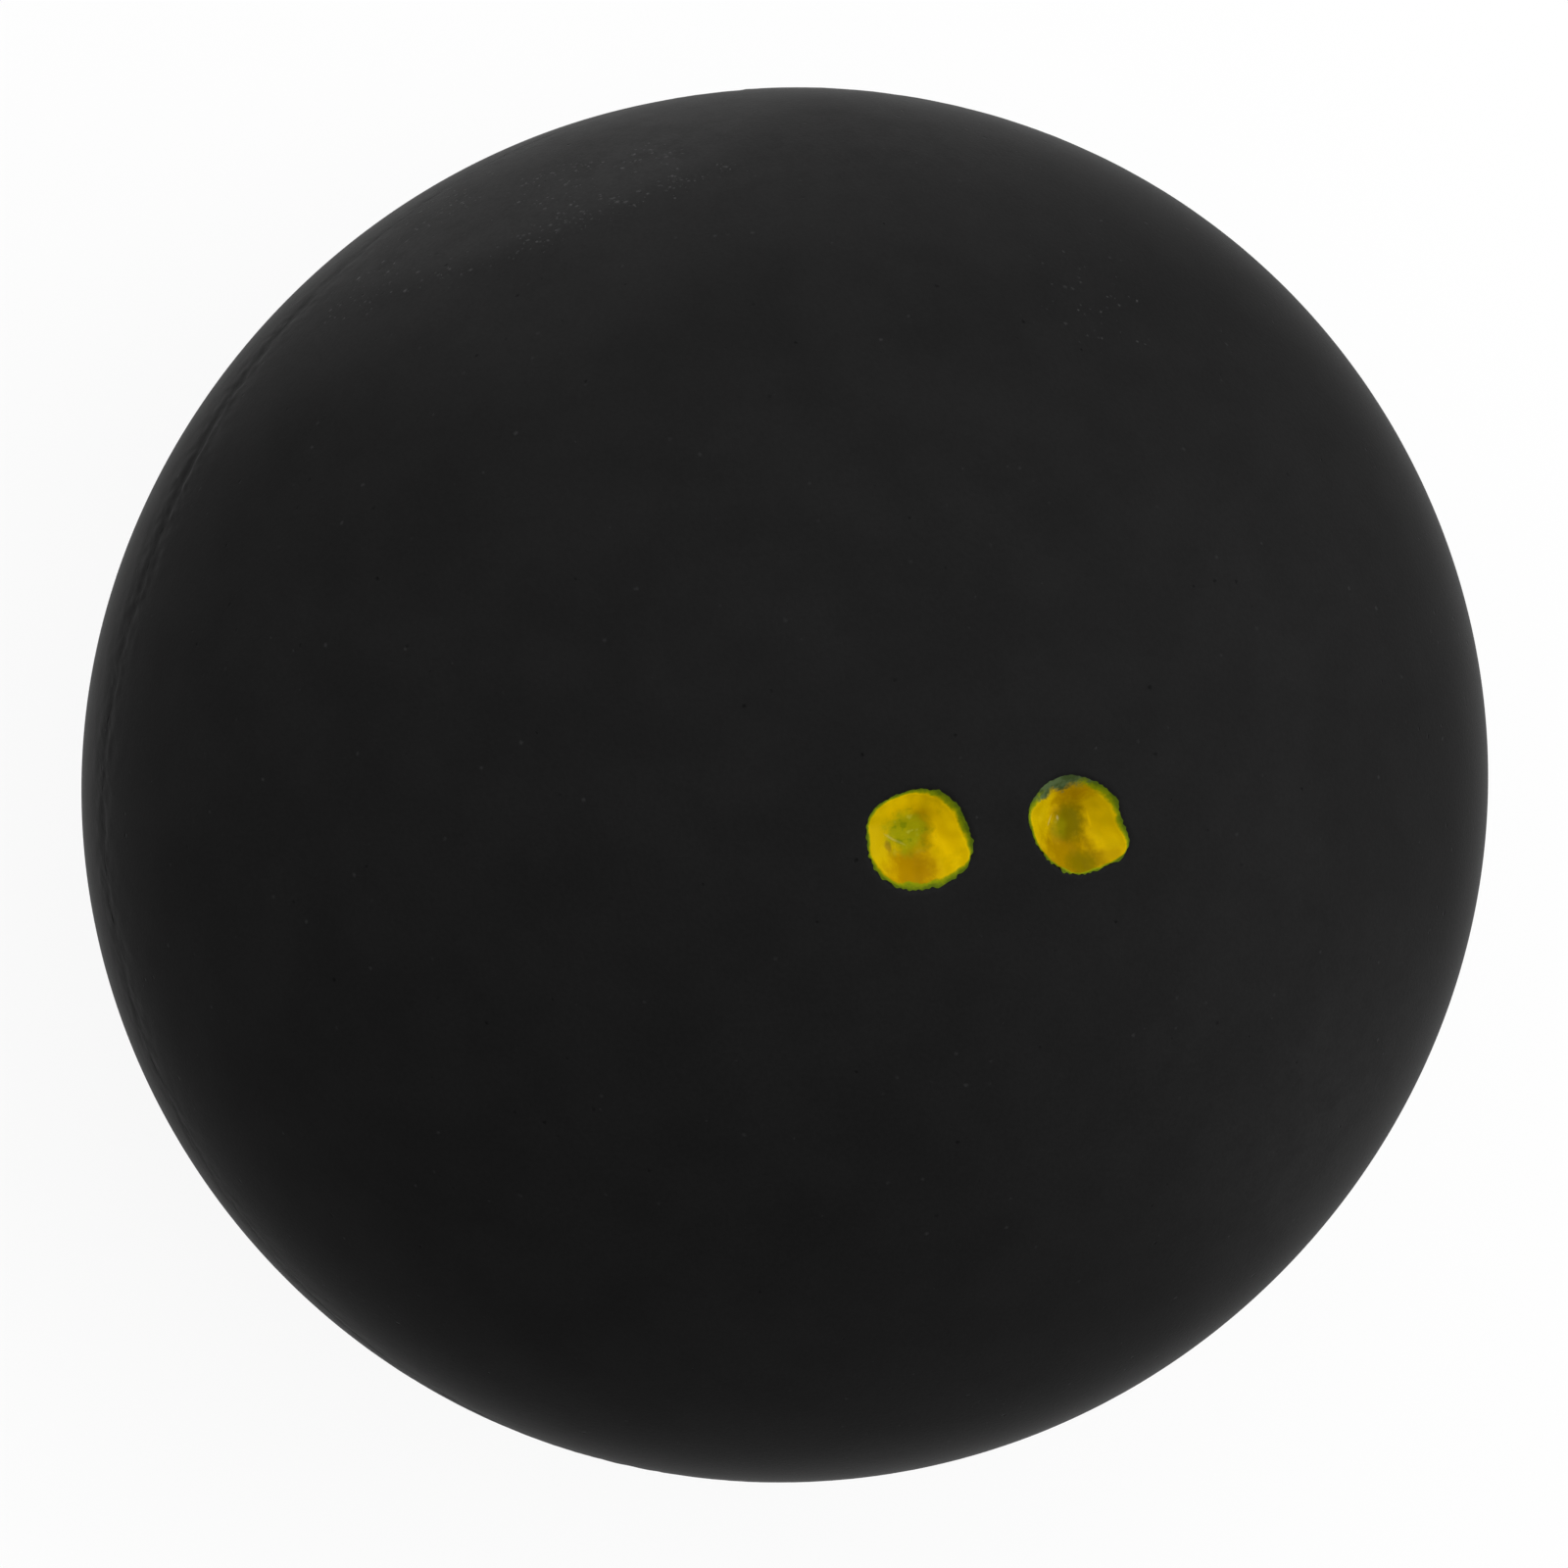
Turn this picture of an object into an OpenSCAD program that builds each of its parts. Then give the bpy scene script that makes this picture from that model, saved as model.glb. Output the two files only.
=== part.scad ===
// Squash ball of the slowest grade, with two yellow dots.
// Two moulded rubber half shells are cemented edge to edge round a sealed hollow.
// One half carries two moulded dimples, and each dimple is lined with paint.
// The origin is the ball's centre, the seam lies in the XY plane, +Z points at the
// middle between the dots, and +X runs from the left dot to the right dot.

/* [Ball] */
// Outside diameter of the finished ball
ball_d = 40; // [36:0.5:44]
// Thickness of the rubber wall
wall_t = 5; // [3.5:0.1:6.5]

/* [Seam] */
// Thickness of the cured cement between the two ground edges
cement_t = 0.2; // [0.1:0.05:0.4]
// Width and height of the broken outer edge of each half, which open the seam line
edge_break = 0.15; // [0.05:0.05:0.4]
// Width of the bead of cement that is squeezed into the hollow
bead_w = 1.2; // [0.8:0.1:2]
// Height of that bead above the inside of the wall
bead_h = 0.4; // [0.2:0.05:0.6]

/* [Dots] */
// Distance between the centres of the two dots
dot_pitch = 4.6; // [4:0.1:8]
// Diameter of a dimple where it meets the ball's surface
dimple_mouth_d = 2.9; // [2.4:0.1:3.4]
// Diameter of a dimple's flat floor
dimple_floor_d = 1.25; // [0.8:0.05:1.6]
// Depth of a dimple below its mouth
dimple_depth = 0.8; // [0.5:0.05:1.2]
// Width of the soft lip round a dimple's mouth
lip_w = 0.15; // [0.05:0.05:0.25]
// Drop of that lip from the mouth to the top of the dimple's wall
lip_drop = 0.06; // [0.02:0.01:0.12]
// Thickness of the paint in a dimple
paint_t = 0.12; // [0.05:0.01:0.2]

/* [Hidden] */
$fn = 128;

rubber_color = [0.12, 0.12, 0.12];
cement_color = [0.20, 0.19, 0.17];
paint_color = [0.78, 0.65, 0.02];

// How far a cutting shape runs past what it cuts
overrun = 1;

ball_r = ball_d / 2;
hollow_r = ball_r - wall_t;
// The outer sphere is turned so that its poles lie clear of the dots and of the seam
sphere_turn = 60;

// The cement's outer edge lies at the foot of the two broken edges
cement_r = ball_r - edge_break;
// The bead's cross-section is an arc with bead_w as its chord and bead_h as its rise
bead_arc_r = (bead_w * bead_w / 4 + bead_h * bead_h) / (2 * bead_h);
bead_centre_r = hollow_r - bead_h + bead_arc_r;

// Each dot's axis runs through the ball's centre and leans away from +Z
dot_lean = asin(dot_pitch / ball_d);

// A dimple's outline, as radii from its own axis and heights above the ball's centre
mouth_r = dimple_mouth_d / 2;
mouth_z = sqrt(ball_r * ball_r - mouth_r * mouth_r);
wall_top_r = mouth_r - lip_w;
wall_top_z = mouth_z - lip_drop;
floor_r = dimple_floor_d / 2;
floor_z = mouth_z - dimple_depth;

// The paint's inner faces lie one paint thickness off the floor and the sloping wall
wall_slope = atan2(wall_top_z - floor_z, wall_top_r - floor_r);
paint_floor_r = floor_r - paint_t * tan(wall_slope / 2);
paint_top_r = wall_top_r - paint_t / sin(wall_slope);

// Children given along +Z are laid on a dot's axis: side -1 is the left dot, 1 the right
module on_dot(side) {
    rotate([0, side * dot_lean, 0])
        children();
}

// The space that a mould pin leaves: flat floor, sloping wall, soft lip, then clear above
module dimple_space() {
    rotate_extrude()
        polygon([
            [0, floor_z],
            [floor_r, floor_z],
            [wall_top_r, wall_top_z],
            [mouth_r + lip_w, mouth_z + lip_drop],
            [mouth_r + lip_w, ball_r + overrun],
            [0, ball_r + overrun]
        ]);
}

// Paint over the floor and wall of a dimple, up to the foot of its lip
module dimple_lining() {
    rotate_extrude()
        polygon([
            [0, floor_z],
            [floor_r, floor_z],
            [wall_top_r, wall_top_z],
            [paint_top_r, wall_top_z],
            [paint_floor_r, floor_z + paint_t],
            [0, floor_z + paint_t]
        ]);
}

// A hollow dome above the seam. The cone grinds its edge flat and breaks the outer corner.
module half_dome() {
    difference() {
        intersection() {
            rotate([sphere_turn, 0, 0])
                sphere(r = ball_r);
            translate([0, 0, cement_t / 2])
                cylinder(h = ball_r, r1 = cement_r, r2 = cement_r + ball_r);
        }
        sphere(r = hollow_r);
    }
}

module dotted_half_shell() {
    color(rubber_color)
        difference() {
            half_dome();
            for (side = [-1, 1])
                on_dot(side)
                    dimple_space();
        }
}

module plain_half_shell() {
    color(rubber_color)
        mirror([0, 0, 1])
            half_dome();
}

// A flat ring between the ground edges, with the bead that swells into the hollow
module seam_cement() {
    color(cement_color) {
        difference() {
            cylinder(h = cement_t, r = cement_r, center = true);
            cylinder(h = cement_t + overrun, r = hollow_r - bead_h / 2, center = true);
        }
        intersection() {
            sphere(r = hollow_r);
            rotate_extrude()
                translate([bead_centre_r, 0])
                    circle(r = bead_arc_r);
        }
    }
}

module left_dot_paint() {
    color(paint_color)
        on_dot(-1)
            dimple_lining();
}

module right_dot_paint() {
    color(paint_color)
        on_dot(1)
            dimple_lining();
}

dotted_half_shell();
plain_half_shell();
seam_cement();
left_dot_paint();
right_dot_paint();
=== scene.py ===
import math

import bmesh
import bpy
import numpy as np
from mathutils import Matrix, Vector


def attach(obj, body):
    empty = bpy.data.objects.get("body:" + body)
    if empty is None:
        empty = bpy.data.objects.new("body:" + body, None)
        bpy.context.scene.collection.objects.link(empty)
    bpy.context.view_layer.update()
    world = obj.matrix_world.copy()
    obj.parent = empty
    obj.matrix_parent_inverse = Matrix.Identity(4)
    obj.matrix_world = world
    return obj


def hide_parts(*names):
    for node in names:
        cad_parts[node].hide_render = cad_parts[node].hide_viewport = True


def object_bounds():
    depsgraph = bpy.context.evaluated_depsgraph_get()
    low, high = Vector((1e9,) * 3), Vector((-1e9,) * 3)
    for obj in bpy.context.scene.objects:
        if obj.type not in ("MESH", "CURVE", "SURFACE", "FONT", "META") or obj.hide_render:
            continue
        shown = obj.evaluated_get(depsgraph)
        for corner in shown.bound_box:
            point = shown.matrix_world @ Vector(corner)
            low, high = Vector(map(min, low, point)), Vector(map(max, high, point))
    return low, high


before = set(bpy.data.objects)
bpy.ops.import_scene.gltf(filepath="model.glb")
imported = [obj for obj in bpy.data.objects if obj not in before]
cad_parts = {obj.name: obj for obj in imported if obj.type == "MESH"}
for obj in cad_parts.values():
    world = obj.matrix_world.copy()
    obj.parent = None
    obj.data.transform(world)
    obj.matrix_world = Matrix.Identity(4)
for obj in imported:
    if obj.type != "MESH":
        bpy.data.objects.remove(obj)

# The CAD model's box
cad_low, cad_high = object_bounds()

MM = 0.001
TAU = 2 * math.pi

# Sizes that follow the CAD pieces
BALL_R = (cad_high.z - cad_low.z) / 2
BALL_FLOOR_Z = cad_low.z
WALL_T = 5 * MM
HOLLOW_R = BALL_R - WALL_T
CEMENT_HALF_T = 0.1 * MM
BEAD_HALF_W = 0.6 * MM
BEAD_H = 0.4 * MM
DOT_PITCH = 4.6 * MM
DIMPLE_DEPTH = 0.8 * MM
DOT_LEAN = math.asin(DOT_PITCH / (2 * BALL_R))

# The camera looks down at the dotted half, from a little to the left of its middle
TO_CAMERA = Vector((-0.2927, 0.0887, 0.9521)).normalized()
CAMERA_UP = Vector((0.0809, 0.9943, -0.0678)).normalized()
CAMERA_RIGHT = CAMERA_UP.cross(TO_CAMERA)
CAMERA_DISTANCE = 480 * MM
CAMERA_SIDESTEP = -0.028 * MM
CAMERA_CLIPS = (1 * MM, 10)
LENS_MM = 385.2
SENSOR_MM = 36.0

# The ball is a little out of round: longest towards the upper right in the photograph
LONG_AXIS = (0.883 * CAMERA_RIGHT + 0.469 * CAMERA_UP).normalized()
SHORT_AXIS = TO_CAMERA.cross(LONG_AXIS)
LONG_GROWTH = 0.155 * MM
SHORT_LOSS = 0.123 * MM

# Slow lumps of the outline: (waves round TO_CAMERA, cosine part, sine part)
OUTLINE_LUMPS = (
    (1, 0.017 * MM, -0.023 * MM),
    (3, -0.020 * MM, 0.014 * MM),
    (4, 0.012 * MM, -0.002 * MM),
    (5, -0.002 * MM, -0.004 * MM),
    (6, 0.009 * MM, -0.005 * MM),
)

# Random waves round the ball or a dot: (fewest and most waves per turn, fall of the shorter)
SEAM_WAVES = (40, 260, 0.8)
ROLL_WAVES = (20, 200, 0.5)
CRACK_WAVES = (20, 200, 0.4)
PAINT_EDGE_WAVES = (9, 60, 0.8)

# Seeds of the random shapes
SEAM_SEED = 5
CRACK_SEED = 7
LEFT_DOT_SEED = 11
RIGHT_DOT_SEED = 12
ROLL_SEED = 21
BUFFED_SEED = 31
# Added to a dot's own seed for the lumps of its paint
PAINT_LUMP_SEED = 20

# How many plane waves make up a field of random lumps
LUMP_WAVES = 40

# The seam wanders: (azimuth in degrees, height above the XY plane)
SEAM_PATH = (
    (-172, -0.32 * MM),
    (-161, -0.26 * MM),
    (-149, 0.06 * MM),
    (-130, 0.45 * MM),
    (-108, 0.77 * MM),
    (-75, 0.60 * MM),
    (-30, 0.30 * MM),
    (20, 0.00 * MM),
    (60, -0.60 * MM),
    (89, -0.88 * MM),
    (107, -0.40 * MM),
    (125, -0.07 * MM),
    (139, -0.23 * MM),
    (151, 0.06 * MM),
    (158.5, 0.19 * MM),
    (166, -0.10 * MM),
    (176, -0.30 * MM),
)
# Size of its small random wiggles
SEAM_RAGGED = 0.05 * MM

# How far the plain half stands proud of the dotted half at the seam: (azimuth, height)
SEAM_STEP = (
    (-170, 0.01 * MM),
    (-135, 0.02 * MM),
    (-108, 0.00 * MM),
    (-60, -0.03 * MM),
    (-10, 0.01 * MM),
    (40, -0.02 * MM),
    (75, -0.04 * MM),
    (92, -0.04 * MM),
    (110, 0.00 * MM),
    (130, 0.02 * MM),
    (160, 0.02 * MM),
)
# The step runs out over its spread, and is rounded away at the seam itself
STEP_SPREAD = 2.5 * MM
STEP_ROUNDING = 0.35 * MM

# The seam's two edges are rolled down by buffing, and a fine crack stays between them
ROLL_DEPTH = 0.027 * MM
DOTTED_ROLL_SPREAD = 0.45 * MM
PLAIN_ROLL_SPREAD = 0.65 * MM
ROLL_VARIES_SHARE = 0.3
CRACK_DEPTH = 0.012 * MM
CRACK_SPREAD = 0.18 * MM
CRACK_VARIES_SHARE = 0.5
# How far the cement lies below the two edges
CEMENT_SINK = 0.002 * MM
# How plainly the roll and the crack show: (azimuth, share)
SEAM_SHOWS = (
    (-170, 0.35),
    (-145, 0.15),
    (-112, 0.30),
    (-75, 0.80),
    (0, 1.20),
    (55, 0.90),
    (88, 0.10),
    (105, 0.05),
    (122, 0.12),
    (132, 0.60),
    (150, 0.80),
    (165, 0.55),
    (178, 0.40),
)

# Small lumps that buffing leaves beside the seam. Where the seam doesn't show, a least
# share of them stays.
BUFFED_LUMP_H = 0.009 * MM
BUFFED_SPREAD = 1.4 * MM
BUFFED_SHORTEST = 0.30 * MM
BUFFED_LONGEST = 1.1 * MM
BUFFED_LEAST = 0.15

# A flat scuff on the outline. It starts sharply at a small lip and runs out over its tail.
# The angle is measured round TO_CAMERA, from CAMERA_RIGHT towards CAMERA_UP.
SCUFF_ANGLE = math.radians(97.2)
SCUFF_DEPTH = 0.055 * MM
SCUFF_HALF_WIDTH = 1.2 * MM
SCUFF_START = 1.3 * MM
SCUFF_START_SOFT = 0.04 * MM
SCUFF_TAIL = 1.5 * MM
SCUFF_LIP_H = 0.02 * MM
SCUFF_LIP_SPREAD = 0.15 * MM
SCUFF_LIP_OUTSIDE = 0.12 * MM

# Mesh of a half shell: squares along each side of the cap, the cap's reach from the pole, the
# rings' height at the seam and their growth from ring to ring
GRID = 112
HOLLOW_GRID = 32
CAP_ANGLE = math.radians(45)
FIRST_RING_STEP = 0.035 * MM
HOLLOW_FIRST_STEP = 0.2 * MM
RING_GROWTH = 1.13
# The rings have twice the points within each of these distances from the seam
FINE_REACHES = (2.2 * MM, 0.9 * MM)
# The cap's faces are split once within each of these distances from a dot's middle
DOT_REFINE = (2.6 * MM, 2.2 * MM, 1.9 * MM)
# Corners sharper than this stay sharp in smooth shading
SHARP_ANGLE = math.radians(50)

# Mesh of the cement, which has as many segments as the skins have points at the seam
CEMENT_SEGMENTS = 16 * GRID
BEAD_STEPS = 10
CEMENT_GAP = 0.003 * MM

# Outline of the paint in each dimple: (angle in degrees from +X towards +Y, radius)
LEFT_OUTLINE = (
    (-165, 1.51 * MM),
    (-150, 1.50 * MM),
    (-132, 1.49 * MM),
    (-110, 1.44 * MM),
    (-92, 1.40 * MM),
    (-78, 1.395 * MM),
    (-62, 1.44 * MM),
    (-45, 1.48 * MM),
    (-25, 1.53 * MM),
    (-8, 1.475 * MM),
    (12, 1.375 * MM),
    (40, 1.395 * MM),
    (60, 1.43 * MM),
    (75, 1.40 * MM),
    (100, 1.385 * MM),
    (115, 1.395 * MM),
    (130, 1.48 * MM),
    (150, 1.565 * MM),
    (162, 1.56 * MM),
    (178, 1.49 * MM),
)
RIGHT_OUTLINE = (
    (-175, 1.41 * MM),
    (-160, 1.35 * MM),
    (-145, 1.305 * MM),
    (-130, 1.30 * MM),
    (-112, 1.325 * MM),
    (-92, 1.36 * MM),
    (-75, 1.35 * MM),
    (-58, 1.42 * MM),
    (-42, 1.55 * MM),
    (-29, 1.67 * MM),
    (-17, 1.555 * MM),
    (0, 1.335 * MM),
    (12, 1.31 * MM),
    (28, 1.345 * MM),
    (45, 1.315 * MM),
    (62, 1.30 * MM),
    (80, 1.35 * MM),
    (105, 1.46 * MM),
    (130, 1.54 * MM),
    (158, 1.58 * MM),
    (172, 1.51 * MM),
)
# The dimples: how far the mouth lies outside the paint, and how softly the wall bends into
# the mouth and the floor
LIP_OUTSIDE_PAINT = 0.05 * MM
DIMPLE_FLOOR_R = 0.60 * MM
LIP_SOFT_SHARE = 0.12
FLOOR_SOFT_SHARE = 0.30

# Width of the paint's thin margin: (angle, width)
LEFT_MARGIN = (
    (-170, 0.10 * MM),
    (-145, 0.13 * MM),
    (-122, 0.16 * MM),
    (-108, 0.24 * MM),
    (-85, 0.21 * MM),
    (-65, 0.26 * MM),
    (-45, 0.17 * MM),
    (-25, 0.09 * MM),
    (-10, 0.20 * MM),
    (2, 0.27 * MM),
    (25, 0.24 * MM),
    (50, 0.28 * MM),
    (75, 0.20 * MM),
    (92, 0.14 * MM),
    (108, 0.09 * MM),
    (140, 0.10 * MM),
    (165, 0.095 * MM),
)
RIGHT_MARGIN = (
    (-170, 0.065 * MM),
    (-145, 0.06 * MM),
    (-115, 0.09 * MM),
    (-95, 0.07 * MM),
    (-70, 0.10 * MM),
    (-50, 0.09 * MM),
    (-35, 0.07 * MM),
    (-20, 0.15 * MM),
    (-8, 0.21 * MM),
    (12, 0.21 * MM),
    (28, 0.25 * MM),
    (45, 0.25 * MM),
    (70, 0.27 * MM),
    (85, 0.36 * MM),
    (100, 0.48 * MM),
    (110, 0.54 * MM),
    (122, 0.45 * MM),
    (132, 0.49 * MM),
    (142, 0.30 * MM),
    (152, 0.21 * MM),
    (162, 0.12 * MM),
    (178, 0.09 * MM),
)
# How ragged the paint's edge is: size, and (angle, share) of it round the dot
PAINT_RAGGED = 0.022 * MM
EDGE_ROUGHNESS = (
    (-150, 1.2),
    (-90, 1.0),
    (-40, 1.1),
    (10, 0.8),
    (60, 0.8),
    (110, 0.5),
    (160, 0.5),
)
# Thickness in the bowl and at the very edge, the gap to the rubber below, and how far lumps
# change the thickness
PAINT_T = 0.09 * MM
PAINT_EDGE_T = 0.012 * MM
PAINT_GAP = 0.003 * MM
PAINT_LUMP_SHARE = 0.2
PAINT_LUMP_SHORTEST = 0.35 * MM
PAINT_LUMP_LONGEST = 1.2 * MM
# Mesh of the paint
PAINT_RINGS = 64
PAINT_SEGMENTS = 320

# Colours of the paint, from thick and fresh to thin over black rubber, and painted light, shade
# and highlights on it
YELLOW = (0.62, 0.41, 0.0, 1.0)
# Painted light: paler yellow on the dimple walls that face the lamps, and a painted highlight
# streak
LIT_YELLOW = (0.76, 0.51, 0.0, 1.0)
OCHRE = (0.50, 0.35, 0.0, 1.0)
# Painted shade: the two ambers darken the dimples' top and bottom walls and their middle
SHADED_AMBER = (0.28, 0.165, 0.0, 1.0)
SHADED_WARM_AMBER = (0.34, 0.19, 0.0, 1.0)
# Thin paint over black with painted shade, on the right dimple's floor and bottom
THIN_SHADED_OLIVE = (0.15, 0.12, 0.0, 1.0)
LEAF = (0.29, 0.285, 0.002, 1.0)
DARK_LEAF = (0.19, 0.225, 0.002, 1.0)
# Painted highlight flecks in the leaf green
LEAF_HIGHLIGHT = (0.36, 0.36, 0.02, 1.0)
MARGIN_GREEN = (0.200, 0.240, 0.002, 1.0)
EDGE_GREEN = (0.075, 0.115, 0.005, 1.0)
GREY_GREEN = (0.078, 0.115, 0.046, 1.0)
FILM_GREEN = (0.045, 0.070, 0.020, 1.0)
BROWN = (0.22, 0.12, 0.01, 1.0)
# Painted highlights: pale streaks where a dimple's floor meets its wall
HIGHLIGHT_PALE = (0.55, 0.50, 0.22, 1.0)

# Where the paint's colour changes, laid on in turn, among them painted light and shade on the
# dimple walls
# and painted highlights: colour, centre and half sizes in mm, turn in degrees, softness, strength
LEFT_SPOTS = (
    (OCHRE, (-1.20, 0.10), (0.50, 1.10), 0, 0.40, 1.0),
    (LIT_YELLOW, (0.88, 0.15), (0.52, 0.75), 10, 0.45, 1.0),
    (SHADED_WARM_AMBER, (-0.26, -0.92), (0.68, 0.72), 0, 0.50, 1.0),
    (LIT_YELLOW, (-0.40, 0.85), (0.60, 0.35), 10, 0.50, 0.7),
    (SHADED_WARM_AMBER, (0.10, 0.22), (0.34, 0.62), 0, 0.50, 0.75),
    (LEAF, (-0.30, 0.20), (0.64, 0.58), -15, 0.40, 0.95),
    (BROWN, (-0.86, -0.17), (0.09, 0.15), 20, 0.50, 0.55),
    (HIGHLIGHT_PALE, (-0.76, 0.05), (0.20, 0.030), -35, 0.80, 0.20),
    (HIGHLIGHT_PALE, (-0.52, -0.08), (0.18, 0.025), -30, 0.80, 0.15),
)
RIGHT_SPOTS = (
    (OCHRE, (-1.10, 0.35), (0.40, 0.75), 0, 0.45, 0.9),
    (SHADED_WARM_AMBER, (0.00, 1.05), (0.62, 0.40), 0, 0.50, 0.9),
    (SHADED_AMBER, (-0.30, -0.85), (0.94, 0.74), -20, 0.55, 0.95),
    (SHADED_AMBER, (0.78, -1.08), (0.60, 0.26), 35, 0.50, 0.55),
    (SHADED_AMBER, (-0.10, 0.16), (0.52, 0.78), 0, 0.50, 0.80),
    (THIN_SHADED_OLIVE, (0.00, 0.06), (0.40, 0.52), 0, 0.45, 0.90),
    (THIN_SHADED_OLIVE, (0.12, -1.08), (0.42, 0.30), 0, 0.55, 0.8),
    (LEAF, (-0.38, -0.02), (0.26, 0.30), 0, 0.60, 0.35),
    (HIGHLIGHT_PALE, (-0.36, 0.22), (0.040, 0.07), 20, 0.60, 0.45),
    (HIGHLIGHT_PALE, (-0.66, 0.18), (0.020, 0.14), -25, 0.60, 0.35),
    (LIT_YELLOW, (0.60, 0.12), (0.025, 0.18), 12, 0.60, 0.6),
)
# The part of the right dot's margin where the paint is only a grey film: centre, half sizes,
# turn and softness as above
FILM_SPOT = ((-0.45, 1.45), (1.15, 0.55), 15, 0.3)

# Pale patches on the rubber, where the photograph shows them: place in mm to the right of and
# above the ball's middle in the picture, full reach, faded reach, amount. Those along the top and
# at the upper left are a dusty bloom; the three far to the right and the one at the bottom are
# painted light.
BLOOM_AND_PAINTED_LIGHT = (
    ((0.0, 19.8), 4.0 * MM, 15.0 * MM, 0.0070),
    ((-5.6, 18.2), 1.5 * MM, 6.0 * MM, 0.0030),
    ((-12.6, 14.4), 1.5 * MM, 8.0 * MM, 0.0075),
    ((15.4, 2.0), 2.0 * MM, 12.0 * MM, 0.0015),
    ((15.8, -9.5), 1.0 * MM, 8.5 * MM, 0.0050),
    ((-7.8, 14.2), 1.5 * MM, 7.0 * MM, 0.0038),
    ((-2.8, 17.0), 1.0 * MM, 6.0 * MM, 0.0016),
    ((13.5, -8.8), 3.0 * MM, 12.0 * MM, 0.0027),
    ((2.0, -17.6), 4.0 * MM, 9.0 * MM, 0.0015),
)
# A patch of bloom with a plain border towards the dots. It shows only inside the second reach,
# so on the far side of the ball it runs out gently.
BLOOM_BAND = (((-7.2, 18.3), 6.9 * MM, 8.3 * MM, 0.0045),)
BAND_REACH = (((-6.0, 15.5), 8.0 * MM, 15.0 * MM, 1.0),)
# Crowded specks of dust: place, full reach, faded reach, share of the cells that hold one
DUST = (
    ((-7.2, 15.3), 0.2 * MM, 1.1 * MM, 0.55),
    ((-6.3, 15.7), 0.2 * MM, 1.1 * MM, 0.65),
    ((-5.7, 16.0), 0.2 * MM, 1.0 * MM, 0.55),
    ((-4.7, 16.3), 0.2 * MM, 1.0 * MM, 0.55),
    ((-3.1, 17.0), 0.2 * MM, 1.0 * MM, 0.40),
    ((-1.6, 17.2), 0.2 * MM, 1.0 * MM, 0.30),
    ((-6.4, 17.0), 0.4 * MM, 2.2 * MM, 0.30),
    ((-4.0, 17.7), 0.3 * MM, 1.6 * MM, 0.25),
    ((-9.6, 16.6), 0.3 * MM, 2.2 * MM, 0.22),
    ((-9.5, 14.5), 0.3 * MM, 1.8 * MM, 0.22),
    ((-11.9, 14.0), 0.3 * MM, 1.8 * MM, 0.20),
    ((8.6, 13.2), 0.3 * MM, 2.5 * MM, 0.10),
)

# Specks: size of a cell, radius of a speck in it. Stray dust and pits lie in a share of all the
# cells, and stray dust is fainter.
STRAY_DUST = (0.33 * MM, 0.065 * MM)
COARSE_DUST = (0.25 * MM, 0.075 * MM)
FINE_DUST = (0.14 * MM, 0.050 * MM)
PITS = (0.37 * MM, 0.065 * MM)
STRAY_DUST_SHARE = 0.06
STRAY_DUST_STRENGTH = 0.4
PIT_SHARE = 0.08
# Least and most of a speck's radius and of its strength, and the part of it that is at full
# strength
SPECK_SIZES = (0.5, 1.4)
SPECK_STRENGTHS = (0.4, 1.0)
SPECK_CORE_SHARE = 0.2
# How far a speck's outline is bent, by noise of this size
SPECK_UNEVEN = 0.10 * MM
SPECK_UNEVEN_SIZE = 0.10 * MM

# Grey of the rubber and the cement, from dark to pale mottle, and what grain, dust and pits do.
# The pits' darker grey is painted shade.
RUBBER_TONES = (0.0110, 0.0126)
CEMENT_TONES = (0.0090, 0.0122)
GRAIN_SHARES = (0.92, 1.08)
DUST_TONE = 0.032
PIT_SHADE_SHARE = 0.55
GRAIN_RELIEF = 0.4
# The bloom and the painted light are patchy, and so are their borders and the crowds of dust
BLOOM_AND_LIGHT_SHARES = (0.7, 1.3)
BLOOM_AND_LIGHT_WANDER = 0.5 * MM
CROWD_SHARES = (0.5, 2.2)

# Size of each noise, and the values of it that give the first and the last tone or share
MOTTLE_SIZE = 2.5 * MM
MOTTLE_RANGE = (0.30, 0.70)
GRAIN_SIZE = 0.12 * MM
GRAIN_RANGE = (0.25, 0.75)
CEMENT_MOTTLE_SIZE = 0.4 * MM
CEMENT_MOTTLE_RANGE = (0.30, 0.60)
PATCH_SIZE = 0.9 * MM
BLOOM_AND_LIGHT_RANGE = (0.25, 0.70)
WANDER_RANGE = (0.20, 0.80)
CROWD_SIZE = 0.6 * MM
CROWD_RANGE = (0.42, 0.58)
# The paint's coarse and fine noise are measured from the middle of a noise's values
NOISE_MIDDLE = 0.5
PAINT_COARSE_SIZE = 0.35 * MM
PAINT_FINE_SIZE = 0.11 * MM
PAINT_FINE_SHARE = 0.4
PAINT_BLOTCH_SIZE = 0.25 * MM
OCHRE_RANGE = (-0.20, 0.20)
OCHRE_SHARE = 0.5
DARK_LEAF_RANGE = (0.46, 0.34)
# The leaf's pale flecks are painted highlights
LEAF_HIGHLIGHT_RANGE = (0.60, 0.72)
FILM_STREAK_RANGE = (0.38, 0.62)
# Cover, as a share of the margin's width from the edge, where one colour gives way to the next
EDGE_TO_MARGIN = (0.00, 0.65)
MARGIN_TO_THICK = (0.50, 0.95)

# Shaders. The rubber reflects hardly anything, or the white studio would grey it.
RUBBER_ROUGHNESS = 0.42
RUBBER_SPECULAR = 0.002
RUBBER_SHEEN = 0.05
RUBBER_SHEEN_ROUGHNESS = 0.25
RUBBER_BUMP = 0.6
RUBBER_BUMP_H = 0.03 * MM
PAINT_ROUGHNESS = 0.35
PAINT_SPECULAR = 0.01
PAINT_BUMP = 0.5
PAINT_BUMP_H = 0.01 * MM

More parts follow.
